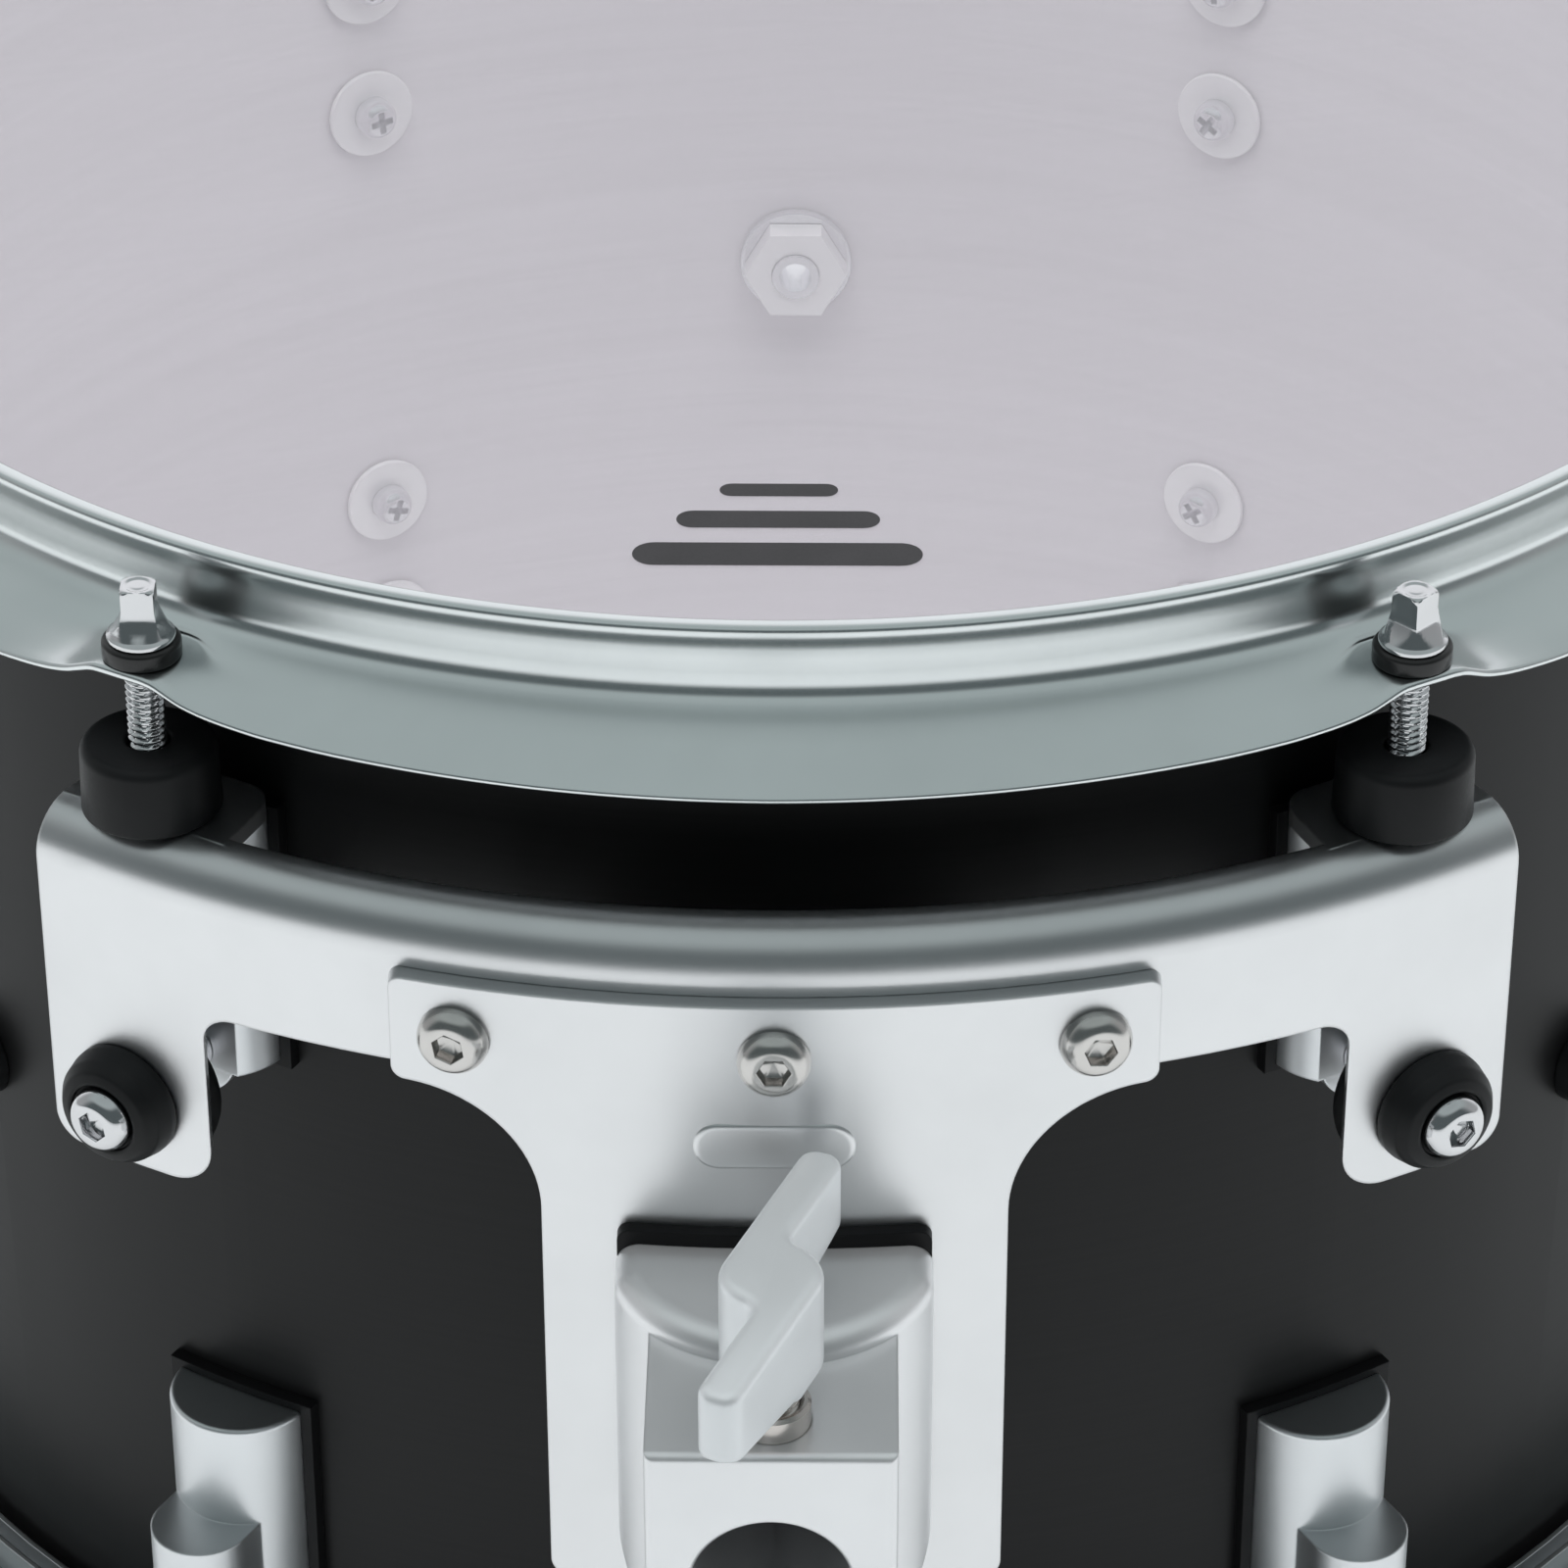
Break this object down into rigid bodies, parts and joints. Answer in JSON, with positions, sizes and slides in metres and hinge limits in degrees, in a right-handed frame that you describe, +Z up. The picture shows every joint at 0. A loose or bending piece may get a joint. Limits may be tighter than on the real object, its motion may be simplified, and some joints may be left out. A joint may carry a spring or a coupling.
{
  "type": "mounted tom drum",
  "caption": "Rack tom drum with pressed steel hoops, half-round lugs, a rubber-isolated suspension bracket and a wing-bolt clamp for a tom arm.",
  "frame": {"origin": "centre of the batter head's top surface", "axes": "+Z up along the drum's axis, out of the batter head; -Y points out of the tom-arm socket; +X to the right seen from the mount side"},
  "size_m": [0.3698, 0.4375, 0.2265],
  "materials": {
    "head_film": "thin hazy polyester film, lightly coated",
    "flesh_hoop": "mill aluminium channel",
    "hoop_steel": "satin nickel-chrome plated pressed steel",
    "bracket_steel": "bead-blasted satin plated steel",
    "cast_zinc": "satin plated zinc die casting",
    "rod_chrome": "polished chrome",
    "button_steel": "bright stainless steel",
    "zinc_steel": "zinc-plated steel",
    "nylon": "black moulded nylon",
    "gasket_rubber": "thin black rubber gasket",
    "rubber": "matt black moulded rubber",
    "brass_nut": "turned brass swivel nut",
    "shell_wood": "satin black lacquer outside, pale sanded ply inside",
    "badge_metal": "plain brushed oval plate"
  },
  "bodies": {
    "drum": {"arm_clamp_casting": "cast_zinc", "badge": "badge_metal", "batter_flesh_hoop": "flesh_hoop", "batter_head": "head_film", "batter_hoop": "hoop_steel", "bottom_rod_washers": "nylon", "casting_screws": "zinc_steel", "leg_bolt_spacers": "zinc_steel", "leg_bolts": "rod_chrome", "leg_grommets": "rubber", "lower_lug_1": "cast_zinc", "lower_lug_2": "cast_zinc", "lower_lug_3": "cast_zinc", "lower_lug_4": "cast_zinc", "lower_lug_5": "cast_zinc", "lower_lug_6": "cast_zinc", "lower_lug_gaskets": "gasket_rubber", "lug_inserts": "brass_nut", "lug_screw_washers": "zinc_steel", "lug_screws": "zinc_steel", "mount_plate": "bracket_steel", "plate_gasket": "gasket_rubber", "plate_nuts": "zinc_steel", "plate_screws": "button_steel", "resonant_flesh_hoop": "flesh_hoop", "resonant_head": "head_film", "resonant_hoop": "hoop_steel", "rubber_feet": "rubber", "shell": "shell_wood", "side_vent_rings": "rubber", "side_vents": "rod_chrome", "suspension_bracket": "bracket_steel", "thread_sleeve": "zinc_steel", "top_rod_washers": "nylon", "upper_lug_1": "cast_zinc", "upper_lug_2": "cast_zinc", "upper_lug_3": "cast_zinc", "upper_lug_4": "cast_zinc", "upper_lug_5": "cast_zinc", "upper_lug_6": "cast_zinc", "upper_lug_gaskets": "gasket_rubber", "vent_lock_washer": "zinc_steel", "vent_nut": "zinc_steel", "vent_tube": "rod_chrome"},
    "bottom_rod_1": {"bottom_rod_1": "rod_chrome"},
    "bottom_rod_2": {"bottom_rod_2": "rod_chrome"},
    "bottom_rod_3": {"bottom_rod_3": "rod_chrome"},
    "bottom_rod_4": {"bottom_rod_4": "rod_chrome"},
    "bottom_rod_5": {"bottom_rod_5": "rod_chrome"},
    "bottom_rod_6": {"bottom_rod_6": "rod_chrome"},
    "top_rod_1": {"top_rod_1": "rod_chrome"},
    "top_rod_2": {"top_rod_2": "rod_chrome"},
    "top_rod_3": {"top_rod_3": "rod_chrome"},
    "top_rod_4": {"top_rod_4": "rod_chrome"},
    "top_rod_5": {"top_rod_5": "rod_chrome"},
    "top_rod_6": {"top_rod_6": "rod_chrome"},
    "clamp_shoe": {"clamp_shoe": "zinc_steel"},
    "wing_bolt": {"wing_bolt": "cast_zinc"}
  },
  "joints": [
    {"name": "bottom_rod_1_turn", "type": "hinge", "parent": "drum", "child": "bottom_rod_1", "pos_m": [-0.08855, -0.15337, -0.2137], "axis": [0, 0, -1], "continuous": true},
    {"name": "bottom_rod_2_turn", "type": "hinge", "parent": "drum", "child": "bottom_rod_2", "pos_m": [0.08855, -0.15337, -0.2137], "axis": [0, 0, -1], "continuous": true},
    {"name": "bottom_rod_3_turn", "type": "hinge", "parent": "drum", "child": "bottom_rod_3", "pos_m": [0.1771, 0, -0.2137], "axis": [0, 0, -1], "continuous": true},
    {"name": "bottom_rod_4_turn", "type": "hinge", "parent": "drum", "child": "bottom_rod_4", "pos_m": [0.08855, 0.15337, -0.2137], "axis": [0, 0, -1], "continuous": true},
    {"name": "bottom_rod_5_turn", "type": "hinge", "parent": "drum", "child": "bottom_rod_5", "pos_m": [-0.08855, 0.15337, -0.2137], "axis": [0, 0, -1], "continuous": true},
    {"name": "bottom_rod_6_turn", "type": "hinge", "parent": "drum", "child": "bottom_rod_6", "pos_m": [-0.1771, 0, -0.2137], "axis": [0, 0, -1], "continuous": true},
    {"name": "top_rod_1_turn", "type": "hinge", "parent": "drum", "child": "top_rod_1", "pos_m": [-0.08855, -0.15337, -0.0018], "axis": [0, 0, 1], "continuous": true},
    {"name": "top_rod_2_turn", "type": "hinge", "parent": "drum", "child": "top_rod_2", "pos_m": [0.08855, -0.15337, -0.0018], "axis": [0, 0, 1], "continuous": true},
    {"name": "top_rod_3_turn", "type": "hinge", "parent": "drum", "child": "top_rod_3", "pos_m": [0.1771, 0, -0.0018], "axis": [0, 0, 1], "continuous": true},
    {"name": "top_rod_4_turn", "type": "hinge", "parent": "drum", "child": "top_rod_4", "pos_m": [0.08855, 0.15337, -0.0018], "axis": [0, 0, 1], "continuous": true},
    {"name": "top_rod_5_turn", "type": "hinge", "parent": "drum", "child": "top_rod_5", "pos_m": [-0.08855, 0.15337, -0.0018], "axis": [0, 0, 1], "continuous": true},
    {"name": "top_rod_6_turn", "type": "hinge", "parent": "drum", "child": "top_rod_6", "pos_m": [-0.1771, 0, -0.0018], "axis": [0, 0, 1], "continuous": true},
    {"name": "clamp_shoe_press", "type": "slide", "parent": "drum", "child": "clamp_shoe", "axis": [0, 0, -1], "range_m": [0, 0.0025]},
    {"name": "wing_bolt_turn", "type": "hinge", "parent": "clamp_shoe", "child": "wing_bolt", "pos_m": [0, -0.2265, -0.07], "axis": [0, 0, -1], "range_deg": [0, 720]}
  ],
  "couplings": [
    {"joint": "wing_bolt_turn", "follows": "clamp_shoe_press", "rad_per_m": 5026.5}
  ]
}
